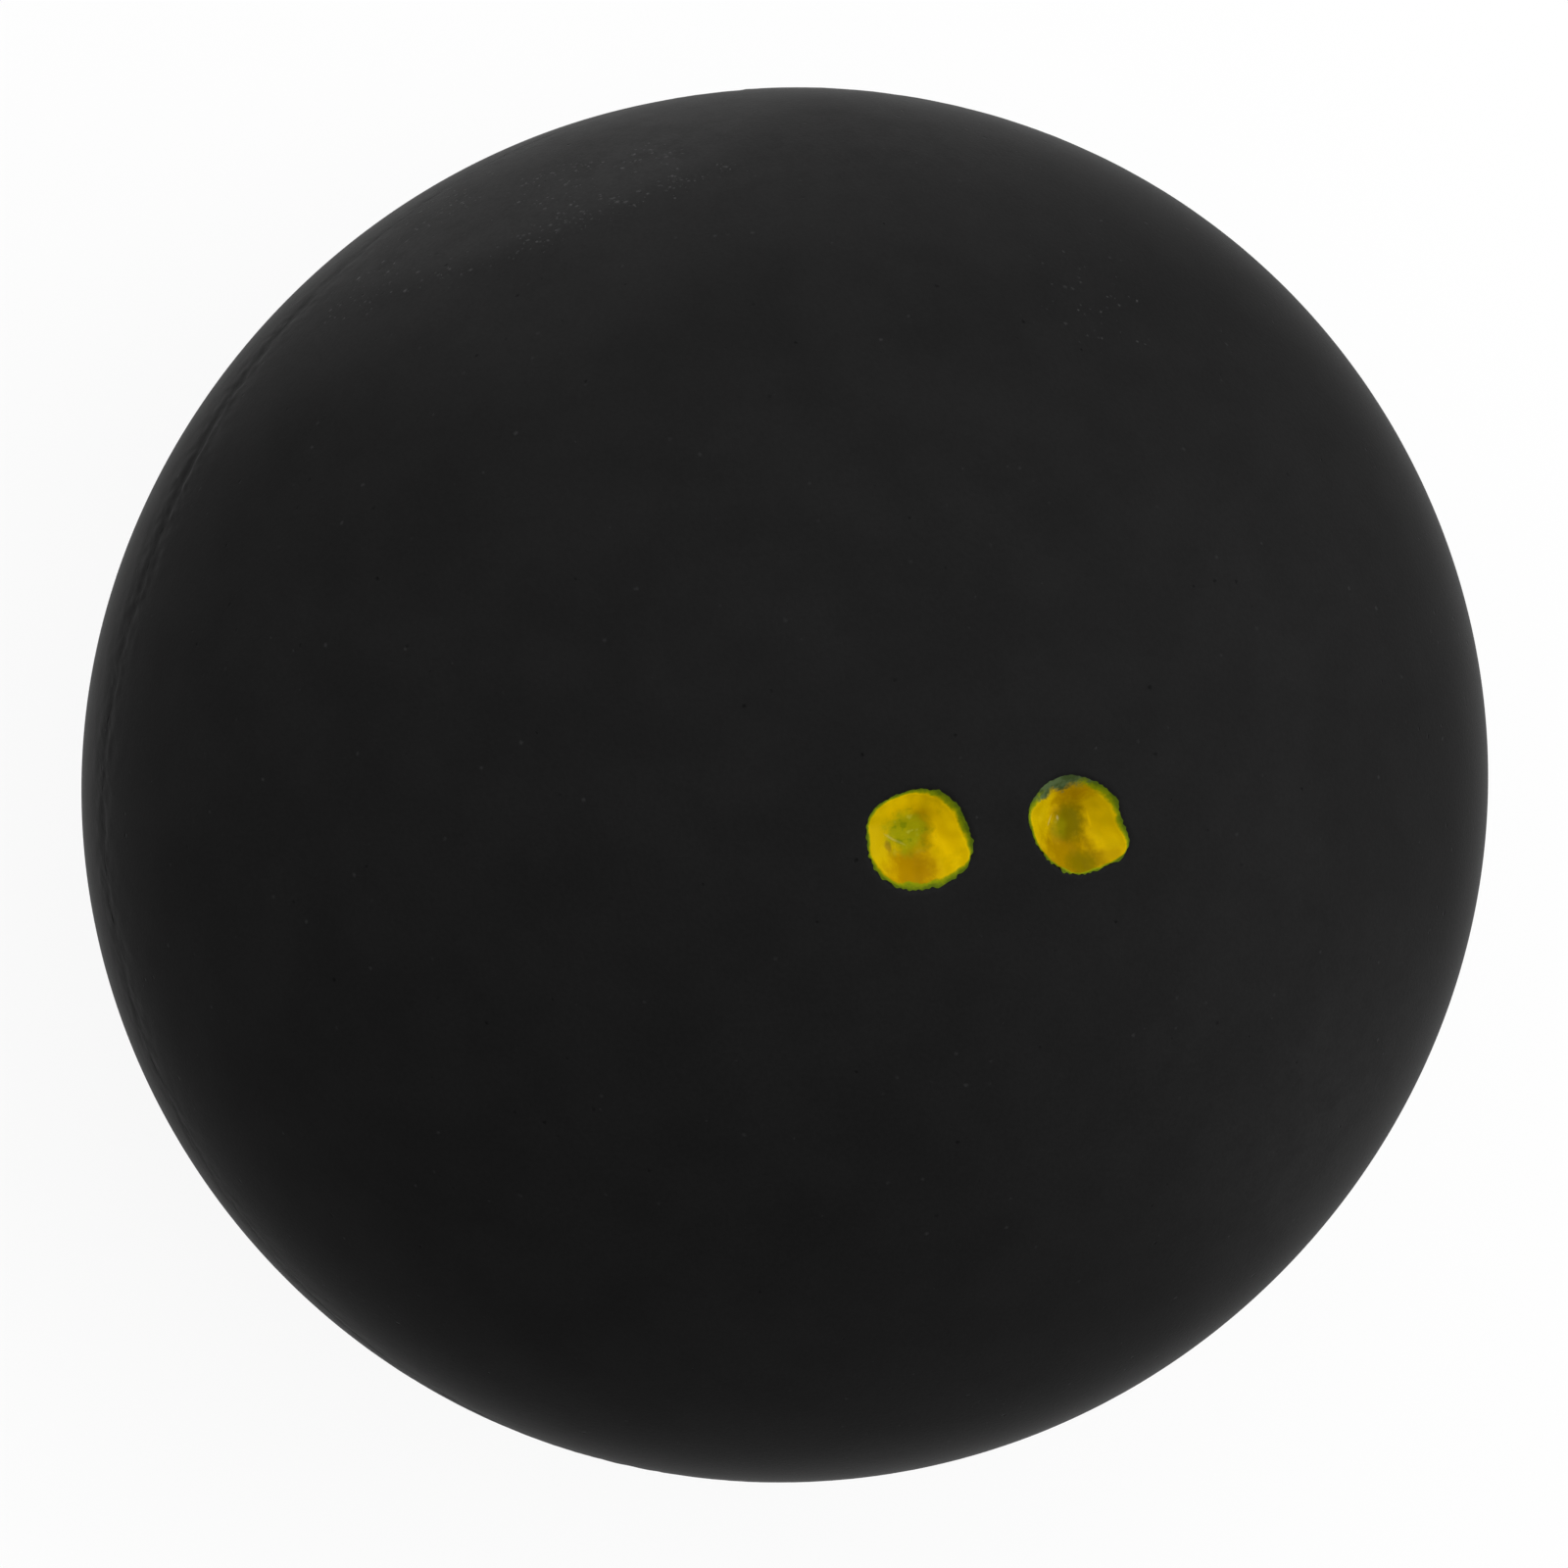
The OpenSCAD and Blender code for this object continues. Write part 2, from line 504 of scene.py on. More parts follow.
# Floor, world and lamps
FLOOR_SIZE = 3.0
FLOOR_SQUARES = 8
FLOOR_GAP = 0.02 * MM
FLOOR_GREY = 0.95
FLOOR_GLOW_SHARE = 0.9
WORLD_STRENGTH = 0.34
LAMP_DISTANCE = 0.6
LAMP_SIZE = 0.5
# Name, direction as (right, up, towards the camera), power
LAMPS = (
    ("right_softbox", (1.0, 0.05, 0.3), 2.0),
    ("top_softbox", (0.0, 0.93, 0.4), 1.7),
    ("front_softbox", (0.1, 0.2, 1.0), 1.6),
)

# Shape helpers


def unit(vectors):
    """Rows scaled to length one."""
    return vectors / np.linalg.norm(vectors, axis=1, keepdims=True)


def closed_curve(knots, angles):
    """Smooth closed curve through (degrees, value) knots, read at angles in radians."""
    at = np.radians([k[0] for k in knots])
    values = np.array([k[1] for k in knots])
    turn = np.mod(np.asarray(angles) - at[0], TAU)
    at = at - at[0]
    spans = np.diff(np.append(at, TAU))
    index = np.searchsorted(at, turn, side="right") - 1
    t = (turn - at[index]) / spans[index]
    count = len(values)
    before, here = values[(index - 1) % count], values[index]
    after, beyond = values[(index + 1) % count], values[(index + 2) % count]
    # Slopes at both ends of the span, from its neighbours on either side
    slope_here = (after - before) * spans[index] / (spans[index] + spans[index - 1])
    slope_after = (beyond - here) * spans[index] / (spans[index] + spans[(index + 1) % count])
    return (
        (2 * t**3 - 3 * t**2 + 1) * here
        + (t**3 - 2 * t**2 + t) * slope_here
        + (3 * t**2 - 2 * t**3) * after
        + (t**3 - t**2) * slope_after
    )


def ragged(angles, waves, seed):
    """Closed random wave of unit size. waves is (fewest per turn, most per turn, fall of the
    shorter ones)."""
    fewest, most, fall = waves
    rng = np.random.default_rng(seed)
    total = np.zeros(np.shape(angles))
    power = 0.0
    for count in range(fewest, most + 1):
        weight = (fewest / count) ** fall
        total += weight * rng.normal() * np.cos(count * angles + rng.uniform(0, TAU))
        power += weight**2 / 2
    return total / math.sqrt(power)


def soft_above_zero(x, soft):
    """x where it is positive, else 0, with the corner rounded over +-soft."""
    rounded = (x + soft) ** 2 / (4 * soft)
    return np.where(x > soft, x, np.where(x < -soft, 0.0, rounded))


def lumps(points, shortest, longest, seed):
    """Smooth random lumps of about unit height at points, from shortest to longest across."""
    rng = np.random.default_rng(seed)
    total = np.zeros(len(points))
    for _ in range(LUMP_WAVES):
        way = unit(rng.normal(size=(1, 3)))[0]
        length = rng.uniform(shortest, longest)
        total += np.cos(TAU * (points @ way) / length + rng.uniform(0, TAU))
    return total / math.sqrt(LUMP_WAVES / 2)


class Dot:
    """One moulded dimple and its paint. side is -1 for the left dot and 1 for the right one."""

    def __init__(self, side, outline, margin, seed):
        lean = side * DOT_LEAN
        self.outline = outline
        self.margin = margin
        self.seed = seed
        self.axis = np.array((math.sin(lean), 0, math.cos(lean)))
        self.right = np.array((math.cos(lean), 0, -math.sin(lean)))
        self.up = np.array((0.0, 1.0, 0.0))

    def mouth_r(self, angles):
        """Radius of the dimple's mouth."""
        return closed_curve(self.outline, angles) + LIP_OUTSIDE_PAINT

    def paint_r(self, angles):
        """Radius of the paint's ragged edge."""
        outline = closed_curve(self.outline, angles)
        rough = PAINT_RAGGED * closed_curve(EDGE_ROUGHNESS, angles)
        return outline + rough * ragged(angles, PAINT_EDGE_WAVES, self.seed)

    def drop(self, directions):
        """How far the rubber lies below the ball's surface at these directions."""
        x = directions @ self.right * BALL_R
        y = directions @ self.up * BALL_R
        facing = directions @ self.axis > 0
        mouth = self.mouth_r(np.arctan2(y, x))
        down = (mouth - np.hypot(x, y)) / (mouth - DIMPLE_FLOOR_R)
        below_lip = soft_above_zero(down, LIP_SOFT_SHARE)
        depth = 1 - soft_above_zero(1 - below_lip, FLOOR_SOFT_SHARE)
        return np.where(facing, DIMPLE_DEPTH * depth, 0.0)

    def direction(self, x, y):
        """Unit directions of points x, y on the dot's own tangent plane."""
        z = np.sqrt(BALL_R**2 - x**2 - y**2)
        return (
            np.outer(x, self.right) + np.outer(y, self.up) + np.outer(z, self.axis)
        ) / BALL_R


LEFT_DOT = Dot(-1, LEFT_OUTLINE, LEFT_MARGIN, LEFT_DOT_SEED)
RIGHT_DOT = Dot(1, RIGHT_OUTLINE, RIGHT_MARGIN, RIGHT_DOT_SEED)
DOTS = (LEFT_DOT, RIGHT_DOT)


def oval_radius(directions):
    """Radius of the ball without its seam and dots: a sphere drawn out along one axis, pressed
    along another, slightly lumpy and scuffed."""
    along = directions @ np.array(LONG_AXIS) / (BALL_R + LONG_GROWTH)
    across = directions @ np.array(SHORT_AXIS) / (BALL_R - SHORT_LOSS)
    toward = directions @ np.array(TO_CAMERA) / BALL_R
    radius = 1 / np.sqrt(along**2 + across**2 + toward**2)
    spin = directions @ np.array(CAMERA_RIGHT) + 1j * (directions @ np.array(CAMERA_UP))
    for waves, cosine, sine in OUTLINE_LUMPS:
        turned = spin**waves
        radius = radius + cosine * turned.real + sine * turned.imag
    return radius - scuff_depth(directions)


def scuff_depth(directions):
    """How far the flat scuff on the outline lies below the ball's surface."""
    middle = math.cos(SCUFF_ANGLE) * CAMERA_RIGHT + math.sin(SCUFF_ANGLE) * CAMERA_UP
    along = math.sin(SCUFF_ANGLE) * CAMERA_RIGHT - math.cos(SCUFF_ANGLE) * CAMERA_UP
    x = directions @ np.array(along) * BALL_R
    y = directions @ np.array(TO_CAMERA) * BALL_R
    facing = directions @ np.array(middle) > 0
    near = np.where(facing, np.exp(-((y / SCUFF_HALF_WIDTH) ** 2)), 0.0)
    from_start = SCUFF_START - x
    hollow = np.exp(-np.maximum(from_start, 0) / SCUFF_TAIL)
    begun = 1 / (1 + np.exp(-from_start / SCUFF_START_SOFT))
    lip = np.exp(-(((from_start + SCUFF_LIP_OUTSIDE) / SCUFF_LIP_SPREAD) ** 2))
    return near * (SCUFF_DEPTH * hollow * begun - SCUFF_LIP_H * lip)


def seam_height(azimuths):
    """Height of the wandering seam above the XY plane, along the surface."""
    wander = closed_curve(SEAM_PATH, azimuths)
    return wander + SEAM_RAGGED * ragged(azimuths, SEAM_WAVES, SEAM_SEED)


def seam_relief(azimuths, distance, side):
    """Height that the rolled edge, the crack and the step give the skin at this distance from
    the seam. side is 1 on the dotted half and -1 on the plain one."""
    spread = DOTTED_ROLL_SPREAD if side > 0 else PLAIN_ROLL_SPREAD
    roll = ROLL_DEPTH / (1 + (distance / spread) ** 2)
    roll = roll * (1 + ROLL_VARIES_SHARE * ragged(azimuths, ROLL_WAVES, ROLL_SEED))
    past_edge = np.maximum(distance - CEMENT_HALF_T, 0)
    openness = np.maximum(1 + CRACK_VARIES_SHARE * ragged(azimuths, CRACK_WAVES, CRACK_SEED), 0)
    crack = CRACK_DEPTH * openness * np.exp(-((past_edge / CRACK_SPREAD) ** 2))
    shows = closed_curve(SEAM_SHOWS, azimuths)
    rounded = 1 - np.exp(-((past_edge / STEP_ROUNDING) ** 2))
    proud = -side * closed_curve(SEAM_STEP, azimuths) / 2
    return proud * rounded * np.exp(-distance / STEP_SPREAD) - shows * (roll + crack)


def skin_radius(directions, distance, side):
    """Radius of the finished rubber skin at this distance from the seam."""
    azimuths = np.arctan2(directions[:, 1], directions[:, 0])
    radius = oval_radius(directions) + seam_relief(azimuths, distance, side)
    buffed = lumps(directions * BALL_R, BUFFED_SHORTEST, BUFFED_LONGEST, BUFFED_SEED)
    height = BUFFED_LUMP_H * np.minimum(closed_curve(SEAM_SHOWS, azimuths) + BUFFED_LEAST, 1)
    radius = radius + height * buffed * np.exp(-distance / BUFFED_SPREAD)
    if side > 0:
        for dot in DOTS:
            radius = radius - dot.drop(directions)
    return radius


def ring_distances(cap_distance, first_step, longest_step):
    """Distances from the seam of the rings below the cap, close together at the seam."""
    distances = [CEMENT_HALF_T]
    step = first_step
    while distances[-1] + step < cap_distance - longest_step / 2:
        distances.append(distances[-1] + step)
        step = min(step * RING_GROWTH, longest_step)
    return distances


def square_to_turns(a, b):
    """Azimuths that draw a square grid out to a round cap, the same spacing on every square."""
    wide = np.abs(a) >= np.abs(b)
    by_a = math.pi / 4 * np.divide(b, a, out=np.zeros_like(a), where=a != 0)
    by_b = math.pi / 4 * np.divide(a, b, out=np.zeros_like(a), where=b != 0)
    return np.where(
        wide,
        by_a + np.where(a < 0, math.pi, 0),
        math.pi / 2 - by_b + np.where(b < 0, math.pi, 0),
    )


def joined_rings(upper, lower):
    """Faces between two rings. The lower one has as many points as the upper, or twice as many."""
    faces = []
    count = len(upper)
    for k in range(count):
        n = (k + 1) % count
        if len(lower) == count:
            faces.append((upper[k], lower[k], lower[n], upper[n]))
        else:
            middle = lower[2 * k + 1]
            faces.append((upper[k], lower[2 * k], middle))
            faces.append((upper[k], middle, upper[n]))
            faces.append((upper[n], middle, lower[2 * n]))
    return faces


def directions_at(azimuths, latitudes):
    """Unit directions as rows."""
    return np.stack((
        np.cos(latitudes) * np.cos(azimuths),
        np.cos(latitudes) * np.sin(azimuths),
        np.sin(latitudes),
    ), axis=1)


def cap_faces(grid):
    """Faces of a square grid of points, and its rim, anticlockwise from azimuth zero."""

    def corner(i, j):
        return i * (grid + 1) + j

    faces = []
    for i in range(grid):
        for j in range(grid):
            faces.append((corner(i, j), corner(i + 1, j), corner(i + 1, j + 1), corner(i, j + 1)))
    half = grid // 2
    rim = [corner(grid, j) for j in range(half, grid)]
    rim += [corner(i, grid) for i in range(grid, 0, -1)]
    rim += [corner(0, j) for j in range(grid, 0, -1)]
    rim += [corner(i, 0) for i in range(grid)]
    rim += [corner(grid, j) for j in range(half)]
    return faces, rim


def dome(side, grid, first_step, fine_reaches=()):
    """A half ball as quads: a square grid drawn out to a round cap, then rings down to the seam,
    with twice the points from each of the fine reaches on. Returns unit directions, distances
    to the seam, the faces and the ring at the seam."""
    cap_distance = BALL_R * (math.pi / 2 - CAP_ANGLE)
    cell = BALL_R * CAP_ANGLE / (grid / 2)
    steps = np.linspace(-1, 1, grid + 1)
    a, b = (axis.ravel() for axis in np.meshgrid(steps, steps, indexing="ij"))
    reach = np.maximum(np.abs(a), np.abs(b))
    azimuths = [square_to_turns(a, b)]
    distances = [BALL_R * (math.pi / 2 - reach * CAP_ANGLE)]
    faces, ring = cap_faces(grid)
    start = (grid + 1) ** 2
    for distance in reversed(ring_distances(cap_distance, first_step, cell)):
        count = 4 * grid * 2 ** sum(distance < fine_reach for fine_reach in fine_reaches)
        azimuths.append(TAU * np.arange(count) / count)
        distances.append(np.full(count, distance))
        lower = list(range(start, start + count))
        faces += joined_rings(ring, lower)
        ring = lower
        start += count

    azimuths, distances = np.concatenate(azimuths), np.concatenate(distances)
    sinking = np.clip(1 - distances / cap_distance, 0, 1) ** 2
    latitudes = (side * distances + sinking * seam_height(azimuths)) / BALL_R
    if side < 0:
        faces = [face[::-1] for face in faces]
    return directions_at(azimuths, latitudes), distances, faces, ring


def refine_near_dots(directions, distances, faces):
    """Splits the faces round the two dimples, finer towards the dimples."""
    mesh = bpy.data.meshes.new("refining")
    mesh.from_pydata(directions.tolist(), [], faces)
    bm = bmesh.new()
    bm.from_mesh(mesh)
    for reach in DOT_REFINE:
        near = set()
        for face in bm.faces:
            middle = face.calc_center_median().normalized()
            if max(middle.dot(Vector(dot.axis)) for dot in DOTS) > math.cos(reach / BALL_R):
                near.update(face.edges)
        bmesh.ops.subdivide_edges(bm, edges=list(near), cuts=1, use_grid_fill=True)
    bm.to_mesh(mesh)
    bm.free()
    refined = unit(np.array([v.co for v in mesh.vertices]))
    faces = [tuple(face.vertices) for face in mesh.polygons]
    bpy.data.meshes.remove(mesh)
    # The split faces all lie in the cap, where the distance follows from the height alone
    added = refined[len(distances):]
    far = BALL_R * np.arcsin(np.clip(added[:, 2], -1, 1))
    return refined, np.append(distances, far), faces


def placed(mesh, name):
    """An object with this mesh, shaded smooth except across its sharp corners."""
    mesh.shade_smooth()
    mesh.set_sharp_from_angle(angle=SHARP_ANGLE)
    piece = bpy.data.objects.new(name, mesh)
    bpy.context.scene.collection.objects.link(piece)
    return piece


def object_from(bm, name):
    """An object with the mesh of bm, which is freed."""
    mesh = bpy.data.meshes.new(name)
    bm.to_mesh(mesh)
    bm.free()
    return placed(mesh, name)


def mated_edge(edge, hollow_edge):
    """Faces that join the skin's many edge points to the hollow's few."""
    per = len(edge) // len(hollow_edge)
    faces = []
    for k, v in enumerate(hollow_edge):
        w = hollow_edge[(k + 1) % len(hollow_edge)]
        run = [edge[(k * per + m) % len(edge)] for m in range(per + 1)]
        for m in range(per):
            faces.append((run[m], run[m + 1], v if m < per // 2 else w))
        faces.append((run[per // 2], w, v))
    return faces


def half_shell(name, side):
    """A rubber half shell: dressed skin, the cemented edge and the inside of the wall."""
    directions, distances, faces, edge = dome(side, GRID, FIRST_RING_STEP, FINE_REACHES)
    if side > 0:
        directions, distances, faces = refine_near_dots(directions, distances, faces)
    skin = directions * skin_radius(directions, distances, side)[:, None]
    inward, _, hollow_faces, hollow_edge = dome(side, HOLLOW_GRID, HOLLOW_FIRST_STEP)
    first = len(skin)
    faces += [tuple(first + index for index in reversed(face)) for face in hollow_faces]
    faces += mated_edge(edge, [first + index for index in hollow_edge])
    bm = bmesh.new()
    mesh = bpy.data.meshes.new("shell_draft")
    mesh.from_pydata(np.concatenate((skin, inward * HOLLOW_R)).tolist(), [], faces)
    bm.from_mesh(mesh)
    bpy.data.meshes.remove(mesh)
    bmesh.ops.recalc_face_normals(bm, faces=bm.faces)
    return object_from(bm, name)


def edge_radius(azimuths, side):
    """Radius of a half's outer edge, where the cement meets it."""
    latitudes = (side * CEMENT_HALF_T + seam_height(azimuths)) / BALL_R
    distance = np.full(len(azimuths), CEMENT_HALF_T)
    return skin_radius(directions_at(azimuths, latitudes), distance, side)


def cement_section(outer_r):
    """Outline of the film and its inner bead, as (radius, way along the surface)."""
    half_t = CEMENT_HALF_T - CEMENT_GAP
    inner_r = HOLLOW_R - CEMENT_GAP
    spread = BEAD_HALF_W * BALL_R / HOLLOW_R
    section = [(outer_r, 0.0), (outer_r, half_t), (inner_r, half_t)]
    for k in range(BEAD_STEPS + 1):
        turn = math.pi * k / BEAD_STEPS
        section.append((inner_r - BEAD_H * math.sin(turn), spread * math.cos(turn)))
    return section + [(inner_r, -half_t), (outer_r, -half_t)]


def cement_ring(name):
    """The film between the halves and its inner bead, following the seam's wander."""
    azimuths = TAU * np.arange(CEMENT_SEGMENTS) / CEMENT_SEGMENTS
    waves = seam_height(azimuths)
    edges = np.minimum(edge_radius(azimuths, 1), edge_radius(azimuths, -1)) - CEMENT_SINK
    bm = bmesh.new()
    rings = []
    for azimuth, wave, edge in zip(azimuths, waves, edges):
        radii, heights = np.array(cement_section(edge)).T
        ways = directions_at(np.full(len(radii), azimuth), (wave + heights) / BALL_R)
        rings.append([bm.verts.new(point) for point in ways * radii[:, None]])
    for k, ring in enumerate(rings):
        following = rings[(k + 1) % CEMENT_SEGMENTS]
        for m in range(len(ring)):
            n = (m + 1) % len(ring)
            bm.faces.new((ring[m], ring[n], following[n], following[m]))
    bmesh.ops.recalc_face_normals(bm, faces=bm.faces)
    return object_from(bm, name)


def lining_faces(count):
    """Faces of a closed round lining: count points on its top, then as many on its bottom."""

    def index(ring, k):
        return 0 if ring < 0 else 1 + ring * PAINT_SEGMENTS + k % PAINT_SEGMENTS

    faces = []
    for ring in range(PAINT_RINGS):
        for k in range(PAINT_SEGMENTS):
            face = [index(ring - 1, k), index(ring, k), index(ring, k + 1)]
            if ring:
                face.append(index(ring - 1, k + 1))
            faces.append(tuple(face))
            faces.append(tuple(count + i for i in reversed(face)))
    for k in range(PAINT_SEGMENTS):
        a, b = index(PAINT_RINGS - 1, k), index(PAINT_RINGS - 1, k + 1)
        faces.append((b, a, count + a, count + b))
    return faces


def paint_lining(name, dot):
    """Paint over a dimple's floor and wall: thick in the bowl, thin and ragged at the mouth.
    Its colour follows three values at each point: the margin's cover and the place in mm."""
    angles = TAU * np.arange(PAINT_SEGMENTS) / PAINT_SEGMENTS
    reach = dot.paint_r(angles)
    shares = np.linspace(0, 1, PAINT_RINGS + 1)[1:]
    x = np.append(0, np.outer(shares, reach * np.cos(angles)))
    y = np.append(0, np.outer(shares, reach * np.sin(angles)))
    turns = np.arctan2(y, x)
    from_edge = closed_curve(dot.outline, turns) - np.hypot(x, y)
    cover = from_edge / closed_curve(dot.margin, turns)
    directions = dot.direction(x, y)
    rubber = oval_radius(directions) - dot.drop(directions)
    flat = np.stack((x, y, np.zeros(len(x))), axis=1)
    lumpy = lumps(flat, PAINT_LUMP_SHORTEST, PAINT_LUMP_LONGEST, dot.seed + PAINT_LUMP_SEED)
    full = PAINT_T * (1 + PAINT_LUMP_SHARE * lumpy)
    thickness = PAINT_EDGE_T + (full - PAINT_EDGE_T) * np.clip(cover, 0, 1)
    top = directions * (rubber + thickness)[:, None]
    bottom = directions * (rubber + PAINT_GAP)[:, None]
    mesh = bpy.data.meshes.new(name)
    mesh.from_pydata(np.concatenate((top, bottom)).tolist(), [], lining_faces(len(x)))
    for label, values in (("cover", cover), ("dot_x", x / MM), ("dot_y", y / MM)):
        layer = mesh.attributes.new(label, "FLOAT", "POINT")
        layer.data.foreach_set("value", np.tile(values, 2))
    return placed(mesh, name)


# Materials


class Tree:
    """Short calls for building a node tree."""

    def __init__(self, owner):
        owner.use_nodes = True
        self.tree = owner.node_tree
        self.tree.nodes.clear()

    def node(self, kind, **settings):
        made = self.tree.nodes.new(kind)
        for name, value in settings.items():
            setattr(made, name, value)
        return made

    def link(self, source, target):
        self.tree.links.new(source, target)

    def feed(self, made, values):
        """Sets or links a node's inputs, by name or by number."""
        for key, value in values.items():
            if isinstance(value, bpy.types.NodeSocket):
                self.link(value, made.inputs[key])
            else:
                made.inputs[key].default_value = value
        return made

    def math(self, operation, a, b=0.0):
        made = self.node("ShaderNodeMath", operation=operation)
        return self.feed(made, {0: a, 1: b}).outputs[0]

    def mix(self, share, a, b):
        made = self.node("ShaderNodeMix", data_type="RGBA")
        return self.feed(made, {0: share, 6: a, 7: b}).outputs[2]

    def ramp(self, value, low, high, to_low=0.0, to_high=1.0):
        """value from low..high to to_low..to_high, held at both ends."""
        made = self.node("ShaderNodeMapRange", interpolation_type="SMOOTHSTEP")
        return self.feed(made, {0: value, 1: low, 2: high, 3: to_low, 4: to_high}).outputs[0]

    def noise(self, where, size, detail=2.0, roughness=0.5):
        """Noise with features of about this size in metres."""
        made = self.node("ShaderNodeTexNoise")
        values = {"Vector": where, "Scale": 1 / size, "Detail": detail, "Roughness": roughness}
        return self.feed(made, values).outputs["Fac"]

    def finish(self, shader):
        output = self.node("ShaderNodeOutputMaterial")
        self.link(shader, output.inputs["Surface"])


def grey(value):
    return (value, value, value, 1.0)


def on_ball(right, up):
    """Point on the ball that lies this many mm right of and above its middle in the picture."""
    toward = math.sqrt((BALL_R / MM) ** 2 - right**2 - up**2)
    return (right * CAMERA_RIGHT + up * CAMERA_UP + toward * TO_CAMERA) * MM


def near_places(t, where, wander, places):
    """Sum of soft patches on the ball, each with its own amount."""
    total = 0.0
    for place, full, faded, amount in places:
        gap = t.node("ShaderNodeVectorMath", operation="DISTANCE")
        t.feed(gap, {0: where, 1: on_ball(*place)})
        reach = t.math("ADD", gap.outputs["Value"], wander)
        total = t.math("ADD", t.ramp(reach, faded, full, 0.0, amount), total)
    return total


def specks(t, where, cell, radius, share):
    """Up to 1 in uneven specks of unequal size, one in a share of the cells, and 0 elsewhere."""
    noise = t.node("ShaderNodeTexNoise")
    t.feed(noise, {"Vector": where, "Scale": 1 / SPECK_UNEVEN_SIZE})
    bent = t.node("ShaderNodeVectorMath", operation="MULTIPLY_ADD")
    t.feed(bent, {0: noise.outputs["Color"], 1: (SPECK_UNEVEN,) * 3, 2: where})
    cells = t.node("ShaderNodeTexVoronoi")
    t.feed(cells, {"Vector": bent.outputs[0], "Scale": 1 / cell})
    # Three random values for each cell: is it chosen, how large and how strong is its speck
    drawn = t.feed(t.node("ShaderNodeSeparateColor"), {"Color": cells.outputs["Color"]})
    chosen = t.math("LESS_THAN", drawn.outputs[0], share)
    reach = t.math("MULTIPLY", t.ramp(drawn.outputs[1], 0.0, 1.0, *SPECK_SIZES), radius / cell)
    core = t.math("MULTIPLY", reach, SPECK_CORE_SHARE)
    strength = t.ramp(drawn.outputs[2], 0.0, 1.0, *SPECK_STRENGTHS)
    near = t.math("MULTIPLY", t.ramp(cells.outputs["Distance"], reach, core), strength)
    return t.math("MULTIPLY", near, chosen)


def with_bloom_and_light(t, where, tone):
    """tone with the pale bloom and the patches of painted light added, and the uneven wander of
    their borders.
    """
    patches = t.noise(where, PATCH_SIZE, detail=6.0, roughness=0.7)
    wander = t.ramp(patches, *WANDER_RANGE, -BLOOM_AND_LIGHT_WANDER, BLOOM_AND_LIGHT_WANDER)
    band = near_places(t, where, wander, BLOOM_BAND)
    band = t.math("MULTIPLY", band, near_places(t, where, wander, BAND_REACH))
    # The patches far to the right and at the bottom are painted light; the rest are bloom
    bloom_and_light = t.math("ADD", near_places(t, where, wander, BLOOM_AND_PAINTED_LIGHT), band)
    bloom_and_light = t.math("MULTIPLY", bloom_and_light, t.ramp(patches, *BLOOM_AND_LIGHT_RANGE, *BLOOM_AND_LIGHT_SHARES))
    return t.math("ADD", tone, bloom_and_light), wander


def rubber_shader(t, tone, height):
    """Matt rubber of this grey, with height as fine relief."""
    colour = t.feed(t.node("ShaderNodeCombineColor"), {0: tone, 1: tone, 2: tone})
    bump = t.node("ShaderNodeBump")
    t.feed(bump, {"Strength": RUBBER_BUMP, "Distance": RUBBER_BUMP_H, "Height": height})
    shader = t.node("ShaderNodeBsdfPrincipled")
    t.feed(shader, {
        "Base Color": colour.outputs[0],
        "Roughness": RUBBER_ROUGHNESS,
        "Specular IOR Level": RUBBER_SPECULAR,
        "Sheen Weight": RUBBER_SHEEN,
        "Sheen Roughness": RUBBER_SHEEN_ROUGHNESS,
        "Normal": bump.outputs["Normal"],
    })
    t.finish(shader.outputs[0])


def rubber_material():
    """Matt black rubber, lightly buffed, with bloom, patches of painted light, dust specks and
    fine pits darkened as painted shade.
    """
    material = bpy.data.materials.new("black_rubber")
    t = Tree(material)
    where = t.node("ShaderNodeTexCoord").outputs["Object"]
    mottle = t.noise(where, MOTTLE_SIZE, detail=3.0)
    grain = t.noise(where, GRAIN_SIZE, detail=4.0, roughness=0.6)
    tone, wander = with_bloom_and_light(t, where, t.ramp(mottle, *MOTTLE_RANGE, *RUBBER_TONES))
    tone = t.math("MULTIPLY", tone, t.ramp(grain, *GRAIN_RANGE, *GRAIN_SHARES))

    crowds = t.ramp(t.noise(where, CROWD_SIZE, detail=1.0), *CROWD_RANGE, *CROWD_SHARES)
    crowding = t.math("MULTIPLY", near_places(t, where, wander, DUST), crowds)
    stray_dust = specks(t, where, *STRAY_DUST, STRAY_DUST_SHARE)
    stray_dust = t.math("MULTIPLY", stray_dust, STRAY_DUST_STRENGTH)
    dust = t.math("MAXIMUM", stray_dust, specks(t, where, *COARSE_DUST, crowding))
    dust = t.math("MAXIMUM", dust, specks(t, where, *FINE_DUST, crowding))
    pits = specks(t, where, *PITS, t.math("ADD", crowding, PIT_SHARE))
    tone = t.math("ADD", tone, t.math("MULTIPLY", dust, DUST_TONE))
    # Painted shade: the pits are darker in colour
    tone = t.math("MULTIPLY", tone, t.ramp(pits, 0.0, 1.0, 1.0, PIT_SHADE_SHARE))
    height = t.math("ADD", t.math("MULTIPLY", grain, GRAIN_RELIEF), dust)
    rubber_shader(t, tone, t.math("SUBTRACT", height, pits))
    return material


def cement_material():
    """Cured cement, buffed flush with the rubber and hardly darker."""
    material = bpy.data.materials.new("rubber_cement")
    t = Tree(material)
    where = t.node("ShaderNodeTexCoord").outputs["Object"]
    mottle = t.noise(where, CEMENT_MOTTLE_SIZE, detail=3.0)
    # The cement shares the rubber's bloom and its patches of painted light
    tone, _ = with_bloom_and_light(t, where, t.ramp(mottle, *CEMENT_MOTTLE_RANGE, *CEMENT_TONES))
    rubber_shader(t, tone, mottle)
    return material


